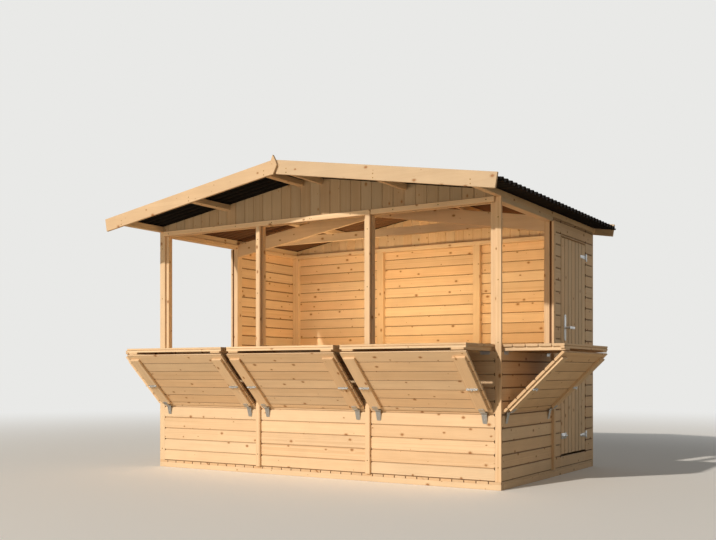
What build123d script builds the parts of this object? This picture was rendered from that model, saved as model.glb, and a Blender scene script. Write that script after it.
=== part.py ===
"""Wooden market stall: a panel-built hut of softwood with a low gable roof.

The front faces -Y and X runs to the right along it. Z is up from the ground, and the
origin is the centre of the floor plan. All sizes are in millimetres.
"""
import os
from math import atan2, cos, degrees, radians, sin, tan

from build123d import *

# Plan and wall build-up
WIDTH = 3250            # outer faces of the side walls
DEPTH = 2030            # outer faces of the front and back walls
CLADDING = 18           # thickness of the wall boards
STUD = 45               # depth of the framing behind the boards
POST_WIDTH = 70         # face width of the posts
CORNER_BOARDS = (58, 47)   # upright boards at the left and the right corners, flush with the walls
STRIP_WIDTH = 40        # cover strip between two panels
STRIP_PROUD = 20        # how far a cover strip stands out of the boards
STRIP_REBATE = 9        # slot behind a strip's edges, beside an opening
FRONT_STRIPS = (-516, 538)   # centre lines of the front strips between the bays
HEADER_JOINT = 7        # open joint between the two lengths of the batten over the openings

# Heights from the ground
BEARER_HEIGHT = 40
BEARER_WIDTH = 45
INNER_BEARERS = 3
FLOOR_THICKNESS = 18
SILL_TOP = 981          # top edge of the lower wall boards
RAIL_HEIGHT = 38
PLATE_HEIGHT = 41       # wall plate, at its low outer side
SOLE_HEIGHT = 45        # rails on the floor and under the sills

# Door in the rear bay of the right wall
DOOR_CORNER = 218       # from the back wall's face to the hinged edge
DOOR_BAY = 197          # from the side strip's centre line to the edge with the handle
DOOR_WIDTH = 600
DOOR_BOTTOM = 173
DOOR_HEIGHT = 1753
DOOR_HEAD = 102         # from the door's top edge to the underside of the top rails
DOOR_GAP = 10
LEDGE_WIDTH = 90
LEDGE_THICKNESS = 20
LEDGE_INSET = 22
DOOR_STUD = 45

# T-hinges: a tapered strap on the door and a cross plate on the wall
BARREL_HEIGHT = 40
HINGE_PLATE = 3
STRAP_LENGTH = 138
STRAP_ROOT = 36
STRAP_TIP = 19
CROSS_HEIGHT = 62
CROSS_WIDTH = 34
KNUCKLE_RADIUS = 6
PIN_RADIUS = 3
PIN_CLEARANCE = 0.06
HINGE_FROM_BOTTOM = 120
HINGE_FROM_TOP = 106

# Door handle and bolt
HANDLE_Z = 1195
HANDLE_INSET = 85
HANDLE_PLATE = (40, 216, 6)  # width, height and thickness
HANDLE_CORNER = 19
LEVER_OUT = 46
LEVER_LENGTH = 112
LEVER_HEIGHT = 22
LEVER_EASE = 3
SPINDLE_RADIUS = 8
BOLT_FROM_BOTTOM = 139
BOLT_INSET = 3          # from the door's edge to the bolt's plate
BOLT_PLATE = (118, 46, 3)   # length, height and thickness
BOLT_RADIUS = 7
BOLT_SEAT = 1           # depth of the bar's groove in its plate
KNOB_RADIUS = 5
KNOB_LENGTH = 16
FIT = 0.3               # clearance between pieces that are set on each other loosely

# Counters and the leaves that hold them up
COUNTER_BATTEN = 29     # height of the battens on the sill
COUNTER_DEPTH = 450     # from the wall boards to the counter's outer edge
COUNTER_GAP = 1         # from the counter's inner edge to the wall's framing
LEAF_BOARD = 18
LIP_HEIGHT = 15
LIP_DEPTH = 30
BATTEN_WIDTH = 95
BATTEN_INSET = 17
BATTEN_THICKNESS = 20
BATTEN_END = 40         # bare board above the battens of a leaf
BATTEN_START = 30       # bare board below them
LEAF_SIDE_GAP = 8       # from a cover strip to the counter or leaf beside it
LEAF_CORNER_GAPS = (1, 11)   # the same beside the left and the right corner board
LEAF_FOOT_Z = 548
LEAF_FOOT_OUT = 16
BRACKET_WIDTH = 46
BRACKET_DROP = 76       # plate on the wall, below the leaf's foot
BRACKET_STEEL = 3
BRACKET_WING = 58       # plate on the batten, along the leaf

# Roof
PITCH = 9.3             # degrees
FRONT_OVERHANG = 480    # wall boards to the face of the front bargeboards
REAR_OVERHANG = 80
BARGE_THICKNESS = 20
BARGE_HEIGHT = 107      # measured plumb
BARGE_RISE = 53         # top edge of the bargeboards above the purlins, plumb
BARGE_EAVE = 172        # reach beyond the side walls
LAP_POINT = 24          # how far the left front board laps over the right one, past the peak
LAP_DROP = 46           # its widest place, below the peak
LAP_FOOT = (12, 6)      # its lower corner, left of the peak and below the boards
TIP_HEIGHT = 37         # small point that stands on the peak
TIP_LEAN = 14           # it leans this far to the left
TIP_LEFT = 32           # its foot on the left slope
TIP_RIGHT = (12, 8)     # its foot on the right, past the peak and below it
PURLIN = 45
SIDE_PURLIN = 852       # centre of the side purlins from the ridge
RIDGE_PURLIN = 97       # centre of the ridge purlins from the ridge
SHEET_EAVES = (85, 190)  # overhang past the left and the right wall
SHEET_PITCH = 76        # one corrugation
SHEET_DEPTH = 30
SHEET_THICKNESS = 3
SHEET_END = 1           # from a sheet's end to the bargeboard
RIDGE_GAP = 8
CAP_WING = 130
CAP_THICKNESS = 3

# Truss at mid-depth
RAFTER_THICKNESS = 28
RAFTER_HEIGHT = 120
TIE_HEIGHT = 70

CUT = 1                 # how far a cutting tool stands out of what it cuts

# Derived places
HALF_W = WIDTH / 2
HALF_D = DEPTH / 2
FLOOR_TOP = BEARER_HEIGHT + FLOOR_THICKNESS
DOOR_TOP = DOOR_BOTTOM + DOOR_HEIGHT
OPENING_TOP = DOOR_TOP + DOOR_HEAD
COUNTER_UNDER = SILL_TOP + COUNTER_BATTEN
COUNTER_TOP = COUNTER_UNDER + LEAF_BOARD
PANEL_TOP = OPENING_TOP + RAIL_HEIGHT
ROOF_AT_WALL = PANEL_TOP + PLATE_HEIGHT
SLOPE = tan(radians(PITCH))
FRONT_END = -HALF_D - FRONT_OVERHANG
REAR_END = HALF_D + REAR_OVERHANG
FRAME_OUT_X = HALF_W - CLADDING
FRAME_OUT_Y = HALF_D - CLADDING
FRAME_IN_X = FRAME_OUT_X - STUD
FRAME_IN_Y = FRAME_OUT_Y - STUD
DOOR_REAR = HALF_D - DOOR_CORNER
DOOR_FRONT = DOOR_REAR - DOOR_WIDTH
SIDE_STRIP = DOOR_FRONT - DOOR_BAY
LEFT_CORNER = -HALF_W + CORNER_BOARDS[0]
RIGHT_CORNER = HALF_W - CORNER_BOARDS[1]
SIDE_POST = (SIDE_STRIP - STRIP_WIDTH / 2, SIDE_STRIP - STRIP_WIDTH / 2 + POST_WIDTH)
HINGE_Y = DOOR_REAR + DOOR_GAP / 2
HINGE_X = HALF_W + KNUCKLE_RADIUS + FIT

parts = {}


def span(x0, x1, y0, y1, z0, z1):
    """A box between two corners."""
    return Pos((x0 + x1) / 2, (y0 + y1) / 2, (z0 + z1) / 2) * Box(x1 - x0, y1 - y0, z1 - z0)


def profile_xz(points, y0, y1):
    """A flat outline in X and Z, extruded from y0 to y1."""
    face = make_face(Plane.XZ * Polyline(*points, close=True))
    return Pos(0, y0, 0) * extrude(face, amount=y1 - y0, dir=(0, 1, 0))


def profile_yz(points, x0, x1):
    """A flat outline in Y and Z, extruded from x0 to x1."""
    face = make_face(Plane.YZ * Polyline(*points, close=True))
    return Pos(x0, 0, 0) * extrude(face, amount=x1 - x0, dir=(1, 0, 0))


def mirrored(shape):
    """The same piece on the other side of the ridge."""
    return mirror(shape, about=Plane.YZ)


def roof_z(x):
    """Underside of the roof sheets at a distance x from the ridge."""
    return ROOF_AT_WALL + SLOPE * (HALF_W - abs(x))


def group(*shapes):
    """Several separate pieces as one node."""
    solids = []
    for shape in shapes:
        solids.extend(shape.solids())
    return Compound(children=solids)


# Base and floor


def make_base():
    edge = HALF_D - BEARER_WIDTH
    cross = [span(-HALF_W, HALF_W, side * HALF_D - max(side, 0) * BEARER_WIDTH,
                  side * HALF_D - min(side, 0) * BEARER_WIDTH, 0, BEARER_HEIGHT) for side in (-1, 1)]
    step = 2 * HALF_D / (INNER_BEARERS + 1)
    for number in range(INNER_BEARERS):
        y = -HALF_D + step * (number + 1)
        cross.append(span(-HALF_W + BEARER_WIDTH, HALF_W - BEARER_WIDTH,
                          y - BEARER_WIDTH / 2, y + BEARER_WIDTH / 2, 0, BEARER_HEIGHT))
    parts["cross_bearers"] = group(*cross)
    right = span(HALF_W - BEARER_WIDTH, HALF_W, -edge, edge, 0, BEARER_HEIGHT)
    parts["side_bearers"] = group(right, mirrored(right))
    parts["floor"] = span(-HALF_W, HALF_W, -HALF_D, HALF_D, BEARER_HEIGHT, FLOOR_TOP)


# Walls


def front_bays():
    """The widths between the corner boards and the front cover strips, from left to right."""
    edges = [LEFT_CORNER]
    for centre in FRONT_STRIPS:
        edges += [centre - STRIP_WIDTH / 2, centre + STRIP_WIDTH / 2]
    edges.append(RIGHT_CORNER)
    return [(edges[i], edges[i + 1]) for i in range(0, len(edges), 2)]


def front_posts():
    """Left and right edges of the posts of the front and back walls."""
    inner = [(centre + STRIP_WIDTH / 2 - POST_WIDTH, centre + STRIP_WIDTH / 2) for centre in FRONT_STRIPS]
    return ([(-FRAME_OUT_X, -FRAME_OUT_X + POST_WIDTH)] + inner
            + [(FRAME_OUT_X - POST_WIDTH, FRAME_OUT_X)])


def make_cladding():
    names = ("front_panel_left", "front_panel_middle", "front_panel_right")
    back = []
    for name, (x0, x1) in zip(names, front_bays()):
        parts[name] = span(x0, x1, -HALF_D, -FRAME_OUT_Y, FLOOR_TOP, SILL_TOP)
        back.append(span(x0, x1, FRAME_OUT_Y, HALF_D, FLOOR_TOP, OPENING_TOP))
    parts["back_wall"] = group(*back)

    strip_front = SIDE_STRIP - STRIP_WIDTH / 2
    strip_rear = SIDE_STRIP + STRIP_WIDTH / 2
    low = span(FRAME_OUT_X, HALF_W, -FRAME_OUT_Y, strip_front, FLOOR_TOP, SILL_TOP)
    parts["right_panel_low"] = low
    parts["left_panel_low"] = mirrored(low)
    parts["left_wall_rear"] = mirrored(
        span(FRAME_OUT_X, HALF_W, strip_rear, FRAME_OUT_Y, FLOOR_TOP, PANEL_TOP))

    front_edge = DOOR_FRONT - DOOR_GAP
    rear_edge = DOOR_REAR + DOOR_GAP
    parts["right_wall_door_front"] = span(
        FRAME_OUT_X, HALF_W, strip_rear, front_edge, FLOOR_TOP, PANEL_TOP)
    parts["right_wall_door_rear"] = span(
        FRAME_OUT_X, HALF_W, rear_edge, FRAME_OUT_Y, FLOOR_TOP, PANEL_TOP)
    parts["right_wall_under_door"] = span(
        FRAME_OUT_X, HALF_W, front_edge, rear_edge, FLOOR_TOP, DOOR_BOTTOM - DOOR_GAP)
    parts["right_wall_over_door"] = span(
        FRAME_OUT_X, HALF_W, front_edge, rear_edge, DOOR_TOP + DOOR_GAP, PANEL_TOP)


def make_posts():
    front = [span(x0, x1, -FRAME_OUT_Y, -FRAME_IN_Y, FLOOR_TOP, OPENING_TOP) for x0, x1 in front_posts()]
    parts["front_posts"] = group(*front)
    parts["back_posts"] = group(*[mirror(post, about=Plane.XZ) for post in front])
    side = span(FRAME_IN_X, FRAME_OUT_X, *SIDE_POST, FLOOR_TOP, OPENING_TOP)
    parts["side_posts"] = group(side, mirrored(side))
    studs = [(DOOR_FRONT - DOOR_GAP - DOOR_STUD, DOOR_FRONT - DOOR_GAP),
             (DOOR_REAR + DOOR_GAP, DOOR_REAR + DOOR_GAP + DOOR_STUD)]
    parts["door_posts"] = group(
        *[span(FRAME_IN_X, FRAME_OUT_X, y0, y1, FLOOR_TOP, OPENING_TOP) for y0, y1 in studs])


def make_rails():
    """Rails between the posts, on the floor and under the sills, and the top rails."""
    sole = []
    sill = []
    posts = front_posts()
    for (left, right) in zip(posts, posts[1:]):
        low = span(left[1], right[0], -FRAME_OUT_Y, -FRAME_IN_Y, FLOOR_TOP, FLOOR_TOP + SOLE_HEIGHT)
        sole += [low, mirror(low, about=Plane.XZ)]
        sill.append(span(left[1], right[0], -FRAME_OUT_Y, -FRAME_IN_Y, SILL_TOP - SOLE_HEIGHT, SILL_TOP))
    front_side = span(FRAME_IN_X, FRAME_OUT_X, -FRAME_IN_Y, SIDE_POST[0],
                      FLOOR_TOP, FLOOR_TOP + SOLE_HEIGHT)
    rear_side = span(FRAME_IN_X, FRAME_OUT_X, SIDE_POST[1], FRAME_IN_Y,
                     FLOOR_TOP, FLOOR_TOP + SOLE_HEIGHT)
    sole += [front_side, mirrored(front_side), mirrored(rear_side)]
    studs = (DOOR_FRONT - DOOR_GAP - DOOR_STUD, DOOR_FRONT - DOOR_GAP,
             DOOR_REAR + DOOR_GAP, DOOR_REAR + DOOR_GAP + DOOR_STUD)
    for y0, y1 in ((SIDE_POST[1], studs[0]), (studs[1], studs[2]), (studs[3], FRAME_IN_Y)):
        sole.append(span(FRAME_IN_X, FRAME_OUT_X, y0, y1, FLOOR_TOP, FLOOR_TOP + SOLE_HEIGHT))
    raised = Pos(0, 0, SILL_TOP - SOLE_HEIGHT - FLOOR_TOP) * front_side
    sill += [raised, mirrored(raised)]
    parts["sole_rails"] = group(*sole)
    parts["sill_rails"] = group(*sill)

    front = span(-FRAME_OUT_X, FRAME_OUT_X, -FRAME_OUT_Y, -FRAME_IN_Y, OPENING_TOP, PANEL_TOP)
    parts["cross_top_rails"] = group(front, mirror(front, about=Plane.XZ))
    side = span(FRAME_IN_X, FRAME_OUT_X, -FRAME_IN_Y, FRAME_IN_Y, OPENING_TOP, PANEL_TOP)
    over_opening = span(FRAME_OUT_X, HALF_W, -FRAME_OUT_Y, SIDE_STRIP + STRIP_WIDTH / 2,
                        OPENING_TOP, PANEL_TOP)
    right = side + over_opening
    parts["side_top_rails"] = group(right, mirrored(right))


def corner_boards(z0, z1, overlap=0):
    """The flush boards at the two front corners, with some overlap in front and behind."""
    return [span(x0, x1, -HALF_D - overlap, -FRAME_OUT_Y + overlap, z0, z1)
            for x0, x1 in ((-HALF_W - overlap, LEFT_CORNER), (RIGHT_CORNER, HALF_W + overlap))]


def make_cover_strips():
    """Corner boards, strips over the panels' joints and battens over the gables' lower edges."""
    corners = corner_boards(FLOOR_TOP, PANEL_TOP)
    plain = [span(centre - STRIP_WIDTH / 2, centre + STRIP_WIDTH / 2,
                  -HALF_D - STRIP_PROUD, -FRAME_OUT_Y, FLOOR_TOP, OPENING_TOP) for centre in FRONT_STRIPS]
    # Each front strip has a slot behind both edges, beside the openings.
    slotted = [strip - span(centre - STRIP_WIDTH / 2, centre - STRIP_WIDTH / 2 + STRIP_REBATE,
                            -HALF_D, -FRAME_OUT_Y, SILL_TOP, OPENING_TOP)
               - span(centre + STRIP_WIDTH / 2 - STRIP_REBATE, centre + STRIP_WIDTH / 2,
                      -HALF_D, -FRAME_OUT_Y, SILL_TOP, OPENING_TOP)
               for strip, centre in zip(plain, FRONT_STRIPS)]
    parts["front_cover_strips"] = group(*corners, *slotted)
    parts["back_cover_strips"] = group(*[mirror(strip, about=Plane.XZ) for strip in corners + plain])
    edge = SIDE_STRIP - STRIP_WIDTH / 2
    side = span(FRAME_OUT_X, HALF_W + STRIP_PROUD, edge, edge + STRIP_WIDTH, FLOOR_TOP, OPENING_TOP)
    side -= span(FRAME_OUT_X, HALF_W, edge, edge + STRIP_REBATE, SILL_TOP, OPENING_TOP)
    parts["side_cover_strips"] = group(side, mirrored(side))

    # The front batten is in two lengths that meet beside the right strip.
    joint = FRONT_STRIPS[1] + STRIP_WIDTH / 2
    lengths = [span(x0, x1, -HALF_D - STRIP_PROUD, -HALF_D, OPENING_TOP, PANEL_TOP)
               for x0, x1 in ((LEFT_CORNER, joint), (joint + HEADER_JOINT, RIGHT_CORNER))]
    parts["front_header"] = group(*lengths)
    parts["back_header"] = span(LEFT_CORNER, RIGHT_CORNER, HALF_D, HALF_D + STRIP_PROUD,
                                OPENING_TOP, PANEL_TOP)


# Door


def make_door():
    leaf = span(FRAME_OUT_X, HALF_W, DOOR_FRONT, DOOR_REAR, DOOR_BOTTOM, DOOR_TOP)
    for z in (DOOR_BOTTOM + LEDGE_WIDTH, (DOOR_BOTTOM + DOOR_TOP) / 2, DOOR_TOP - LEDGE_WIDTH):
        leaf += span(FRAME_OUT_X - LEDGE_THICKNESS, FRAME_OUT_X, DOOR_FRONT + LEDGE_INSET,
                     DOOR_REAR - LEDGE_INSET, z - LEDGE_WIDTH / 2, z + LEDGE_WIDTH / 2)
    parts["door_leaf"] = leaf

    hinges = [t_hinge(z) for z in (DOOR_BOTTOM + HINGE_FROM_BOTTOM, DOOR_TOP - HINGE_FROM_TOP)]
    parts["door_hinge_leaves"] = group(*[strap for strap, plate in hinges])
    parts["wall_hinge_leaves"] = group(*[plate for strap, plate in hinges])
    parts["door_handle"] = handle()
    parts["door_bolt"] = bolt()


def t_hinge(z):
    """The strap on the door and the cross plate on the wall, round one pin."""
    third = BARREL_HEIGHT / 3
    low = z - BARREL_HEIGHT / 2
    axis = Pos(HINGE_X, HINGE_Y, z)
    root = HINGE_Y - KNUCKLE_RADIUS - FIT
    tip = HINGE_Y - STRAP_LENGTH
    strap = profile_yz([(root, z - STRAP_ROOT / 2), (root, z + STRAP_ROOT / 2),
                        (tip, z + STRAP_TIP / 2), (tip, z - STRAP_TIP / 2)], HALF_W, HALF_W + HINGE_PLATE)
    strap = fillet(strap.edges().filter_by(Axis.X).group_by(Axis.Y)[0], STRAP_TIP / 3)
    strap += span(HALF_W, HALF_W + HINGE_PLATE, root, HINGE_Y, low + third + FIT, low + 2 * third - FIT)
    strap += axis * Cylinder(KNUCKLE_RADIUS, third - 2 * FIT)
    strap -= axis * Cylinder(PIN_RADIUS + PIN_CLEARANCE, third)

    inner = HINGE_Y + KNUCKLE_RADIUS + FIT
    plate = span(HALF_W, HALF_W + HINGE_PLATE, inner, inner + CROSS_WIDTH,
                 z - CROSS_HEIGHT / 2, z + CROSS_HEIGHT / 2)
    plate += axis * Cylinder(PIN_RADIUS, BARREL_HEIGHT)
    for end in (low + third / 2, low + 2.5 * third):
        plate += Pos(HINGE_X, HINGE_Y, end) * Cylinder(KNUCKLE_RADIUS, third)
        plate += span(HALF_W, HALF_W + HINGE_PLATE, HINGE_Y, inner, end - third / 2, end + third / 2)
    return strap, plate


def handle():
    """A lever handle on a long back plate with round ends."""
    width, height, steel = HANDLE_PLATE
    y = DOOR_FRONT + HANDLE_INSET
    plate = span(HALF_W, HALF_W + steel, y - width / 2, y + width / 2,
                 HANDLE_Z - height / 2, HANDLE_Z + height / 2)
    plate = fillet(plate.edges().filter_by(Axis.X), HANDLE_CORNER)
    spindle = Cylinder(SPINDLE_RADIUS, LEVER_OUT)
    spindle = Pos(HALF_W + LEVER_OUT / 2, y, HANDLE_Z) * Rot(0, 90, 0) * spindle
    lever = span(HALF_W + LEVER_OUT - SPINDLE_RADIUS, HALF_W + LEVER_OUT + SPINDLE_RADIUS / 2,
                 y - SPINDLE_RADIUS, y + LEVER_LENGTH, HANDLE_Z - LEVER_HEIGHT / 2,
                 HANDLE_Z + LEVER_HEIGHT / 2)
    return plate + spindle + fillet(lever.edges(), LEVER_EASE)


def bolt():
    """A barrel bolt across the door's edge, with its knob."""
    length, height, steel = BOLT_PLATE
    start = DOOR_FRONT + BOLT_INSET
    z = DOOR_BOTTOM + BOLT_FROM_BOTTOM
    plate = span(HALF_W, HALF_W + steel, start, start + length, z - height / 2, z + height / 2)
    bar = Pos(HALF_W + steel + BOLT_RADIUS - BOLT_SEAT, start + length / 2, z)
    knob = bar * Pos(BOLT_RADIUS, 0, 0) * Rot(0, 90, 0) * Cylinder(KNOB_RADIUS, KNOB_LENGTH)
    return plate + bar * Rot(90, 0, 0) * Cylinder(BOLT_RADIUS, length) + knob


# Counters and leaves, drawn on a wall that faces -Y and then turned to their own wall


def make_counter(x0, x1, wall):
    """A counter whose inner edge lies on the wall boards' top edge."""
    outer = -wall - COUNTER_DEPTH
    inner = -wall + CLADDING - COUNTER_GAP
    counter = span(x0, x1, outer, inner, COUNTER_UNDER, COUNTER_TOP)
    counter += span(x0, x1, outer, outer + LIP_DEPTH, COUNTER_UNDER - LIP_HEIGHT, COUNTER_UNDER)
    for left in (x0 + BATTEN_INSET, x1 - BATTEN_INSET - BATTEN_WIDTH):
        counter += span(left, left + BATTEN_WIDTH, outer, inner, SILL_TOP, COUNTER_UNDER)
    return counter


def leaf_section():
    """Angle and length of a leaf that stands on its foot and meets the counter's battens."""
    run = COUNTER_DEPTH - LEAF_FOOT_OUT
    angle = radians(45)
    # The boards' own thickness takes part of the height, so the angle is found by repetition.
    for _ in range(12):
        rise = SILL_TOP - FIT - LEAF_BOARD * cos(angle) - LEAF_FOOT_Z
        angle = atan2(rise, run)
    return angle, run / cos(angle)


def make_leaf(x0, x1, wall):
    """A board leaf that leans from the wall out to the counter's outer edge."""
    angle, length = leaf_section()
    leaf = span(x0, x1, -length, 0, 0, LEAF_BOARD)
    for left in (x0 + BATTEN_INSET, x1 - BATTEN_INSET - BATTEN_WIDTH):
        leaf += span(left, left + BATTEN_WIDTH, -length + BATTEN_END, -BATTEN_START,
                     -BATTEN_THICKNESS, 0)
    turned = Rot(-degrees(angle), 0, 0) * leaf
    return Pos(0, -wall - LEAF_FOOT_OUT, LEAF_FOOT_Z) * turned


def make_brackets(x0, x1, wall):
    """Folded steel plates that carry a leaf's foot: down the wall, under the foot, up the batten."""
    angle, _ = leaf_section()
    shelf = LEAF_FOOT_Z - FIT

    def under_batten(along, depth):
        """A place along the leaf from its foot, and below the boards' outer face."""
        return (-wall - LEAF_FOOT_OUT - along * cos(angle) - depth * sin(angle),
                LEAF_FOOT_Z + along * sin(angle) - depth * cos(angle))

    def fold(depth, drop):
        """Where a line at this depth crosses the level at this drop below the foot."""
        return under_batten((depth * cos(angle) - drop) / sin(angle), depth)

    inner = BATTEN_THICKNESS + FIT
    outer = inner + BRACKET_STEEL
    points = [(-wall, shelf - BRACKET_DROP), (-wall, shelf), fold(inner, FIT),
              under_batten(BRACKET_WING, inner), under_batten(BRACKET_WING, outer),
              fold(outer, FIT + BRACKET_STEEL), (-wall - BRACKET_STEEL, shelf - BRACKET_STEEL),
              (-wall - BRACKET_STEEL, shelf - BRACKET_DROP)]
    brackets = []
    for centre in (x0 + BATTEN_INSET + BATTEN_WIDTH / 2, x1 - BATTEN_INSET - BATTEN_WIDTH / 2):
        brackets.append(profile_yz(points, centre - BRACKET_WIDTH / 2, centre + BRACKET_WIDTH / 2))
    return brackets


def make_counters_and_leaves():
    brackets = []
    names = ("left", "middle", "right")
    for name, (x0, x1) in zip(names, front_bays()):
        x0 += LEAF_CORNER_GAPS[0] if x0 == LEFT_CORNER else LEAF_SIDE_GAP
        x1 -= LEAF_CORNER_GAPS[1] if x1 == RIGHT_CORNER else LEAF_SIDE_GAP
        parts["front_counter_" + name] = make_counter(x0, x1, HALF_D)
        parts["front_leaf_" + name] = make_leaf(x0, x1, HALF_D)
        brackets += make_brackets(x0, x1, HALF_D)
    y0 = -FRAME_OUT_Y + LEAF_SIDE_GAP
    y1 = SIDE_STRIP - STRIP_WIDTH / 2 - LEAF_SIDE_GAP
    turn = Rot(0, 0, 90)
    counter = turn * make_counter(y0, y1, HALF_W)
    leaf = turn * make_leaf(y0, y1, HALF_W)
    side_brackets = [turn * bracket for bracket in make_brackets(y0, y1, HALF_W)]
    parts["right_counter"] = counter
    parts["right_leaf"] = leaf
    parts["left_counter"] = mirrored(counter)
    parts["left_leaf"] = mirrored(leaf)
    brackets += side_brackets + [mirrored(bracket) for bracket in side_brackets]
    parts["leaf_brackets"] = group(*brackets)


# Roof


def purlin_outline(centre):
    """Square purlin whose top lies in the roof's slope, as points in X and Z."""
    angle = radians(PITCH)
    along = Vector(cos(angle), -sin(angle))
    down = Vector(-sin(angle), -cos(angle))
    middle = Vector(centre, roof_z(centre))
    corners = (middle - along * PURLIN / 2, middle + along * PURLIN / 2,
               middle + along * PURLIN / 2 + down * PURLIN, middle - along * PURLIN / 2 + down * PURLIN)
    return [(corner.X, corner.Y) for corner in corners]


def plate_outline():
    inner = HALF_W - PURLIN
    return [(inner, PANEL_TOP), (HALF_W, PANEL_TOP), (HALF_W, roof_z(HALF_W)), (inner, roof_z(inner))]


def make_purlins():
    """Purlins from end to end of the roof, the left ones up to the board that laps the other."""
    left = FRONT_END + BARGE_THICKNESS
    right = left + BARGE_THICKNESS
    rear = REAR_END - BARGE_THICKNESS
    for name, outline in (("wall_plates", plate_outline()), ("side_purlins", purlin_outline(SIDE_PURLIN)),
                          ("ridge_purlins", purlin_outline(RIDGE_PURLIN))):
        parts[name] = group(mirrored(profile_xz(outline, left, rear)), profile_xz(outline, right, rear))


def make_gables():
    outline = [(-HALF_W, OPENING_TOP), (HALF_W, OPENING_TOP), (HALF_W, roof_z(HALF_W)),
               (0, roof_z(0)), (-HALF_W, roof_z(HALF_W))]
    gable = profile_xz(outline, -HALF_D, -FRAME_OUT_Y)
    for outline in (plate_outline(), purlin_outline(SIDE_PURLIN), purlin_outline(RIDGE_PURLIN)):
        notch = profile_xz(outline, -HALF_D - CUT, -FRAME_OUT_Y + CUT)
        gable -= notch
        gable -= mirrored(notch)
    for board in corner_boards(OPENING_TOP - CUT, PANEL_TOP, CUT):
        gable -= board
    parts["front_gable"] = gable
    parts["back_gable"] = mirror(gable, about=Plane.XZ)


def make_bargeboards():
    peak = roof_z(0) + BARGE_RISE
    reach = HALF_W + BARGE_EAVE
    low = peak - SLOPE * reach
    lead = BARGE_HEIGHT * SLOPE
    plain = [(0, peak), (reach, low), (reach - lead, low - BARGE_HEIGHT + SLOPE * lead),
             (0, peak - BARGE_HEIGHT)]
    rear = profile_xz(plain, REAR_END - BARGE_THICKNESS, REAR_END)
    parts["back_bargeboard_right"] = rear
    parts["back_bargeboard_left"] = mirrored(rear)

    parts["front_bargeboard_right"] = profile_xz(
        plain, FRONT_END + BARGE_THICKNESS, FRONT_END + 2 * BARGE_THICKNESS)

    # The left front board runs over the right one and ends in a carved point.
    point = [(-TIP_LEFT, peak - SLOPE * TIP_LEFT), (-TIP_LEAN, peak + TIP_HEIGHT),
             (TIP_RIGHT[0], peak - TIP_RIGHT[1]), (LAP_POINT, peak - LAP_DROP),
             (-LAP_FOOT[0], peak - BARGE_HEIGHT - LAP_FOOT[1]),
             (-TIP_LEFT, peak - BARGE_HEIGHT - SLOPE * TIP_LEFT)]
    eave = [(-reach + lead, low - BARGE_HEIGHT + SLOPE * lead), (-reach, low)]
    parts["front_bargeboard_left"] = profile_xz(point + eave, FRONT_END, FRONT_END + BARGE_THICKNESS)


def sheet_face(length):
    """End face of a corrugated sheet: arcs that meet at the mid-line, and the sheet's thickness."""
    half_wave = SHEET_PITCH / 2
    rise = (SHEET_DEPTH - SHEET_THICKNESS) / 2
    count = int(length // half_wave)
    start = (length - count * half_wave) / 2
    upper = []
    lower = []
    for number in range(count):
        side = 1 if number % 2 == 0 else -1
        ends = (start + number * half_wave, start + (number + 1) * half_wave)
        middle = (ends[0] + ends[1]) / 2
        for edges, z in ((upper, SHEET_THICKNESS / 2), (lower, -SHEET_THICKNESS / 2)):
            edges.append(ThreePointArc((ends[0], z), (middle, z + side * rise), (ends[1], z)))
    last = start + count * half_wave
    half = SHEET_THICKNESS / 2
    caps = [Line((start, -half), (start, half)), Line((last, -half), (last, half))]
    return make_face(upper + lower + caps)


def make_roof_sheets():
    y0, y1 = FRONT_END + 2 * BARGE_THICKNESS + SHEET_END, REAR_END - BARGE_THICKNESS - SHEET_END
    half_depth = SHEET_DEPTH / 2
    face = sheet_face(y1 - y0)
    # A sheet is drawn with its width along X, its depth along Y and the slope along Z.
    slope = (cos(radians(PITCH)), 0, -sin(radians(PITCH)))
    down_slope = Plane(origin=(0, 0, 0), x_dir=(0, 1, 0), z_dir=slope)
    lift = half_depth / cos(radians(PITCH)) + FIT
    left, right = [
        Pos(RIDGE_GAP, y0, roof_z(RIDGE_GAP) + lift)
        * (down_slope * extrude(face, amount=(HALF_W + eave - RIDGE_GAP) / cos(radians(PITCH))))
        for eave in SHEET_EAVES]
    parts["roof_sheet_right"] = right
    parts["roof_sheet_left"] = mirrored(left)

    crest = SHEET_DEPTH / cos(radians(PITCH)) + 2 * FIT
    top = roof_z(0) + crest
    drop = SLOPE * CAP_WING
    cap = [(-CAP_WING, top - drop), (0, top), (CAP_WING, top - drop),
           (CAP_WING, top - drop + CAP_THICKNESS), (0, top + CAP_THICKNESS),
           (-CAP_WING, top - drop + CAP_THICKNESS)]
    parts["ridge_cap"] = profile_xz(cap, y0, y1)


def make_truss():
    """Two rafter planks that butt on the side posts, and a tie on their rear face."""
    y0 = SIDE_POST[0] + (POST_WIDTH - 2 * RAFTER_THICKNESS) / 2
    y1 = y0 + RAFTER_THICKNESS
    under = PURLIN / cos(radians(PITCH))
    height = RAFTER_HEIGHT / cos(radians(PITCH))
    outline = [(0, roof_z(0) - under), (FRAME_IN_X, roof_z(FRAME_IN_X) - under),
               (FRAME_IN_X, roof_z(FRAME_IN_X) - under - height), (0, roof_z(0) - under - height)]
    right = profile_xz(outline, y0, y1)
    parts["truss_rafter_right"] = right
    parts["truss_rafter_left"] = mirrored(right)
    parts["truss_tie"] = span(-FRAME_IN_X, FRAME_IN_X, y1, y1 + RAFTER_THICKNESS,
                              OPENING_TOP, OPENING_TOP + TIE_HEIGHT)


def main():
    make_base()
    make_cladding()
    make_posts()
    make_rails()
    make_cover_strips()
    make_door()
    make_counters_and_leaves()
    make_purlins()
    make_gables()
    make_bargeboards()
    make_roof_sheets()
    make_truss()
    os.makedirs("parts", exist_ok=True)
    for name, shape in parts.items():
        export_step(shape, "parts/" + name + ".step")


main()
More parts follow.
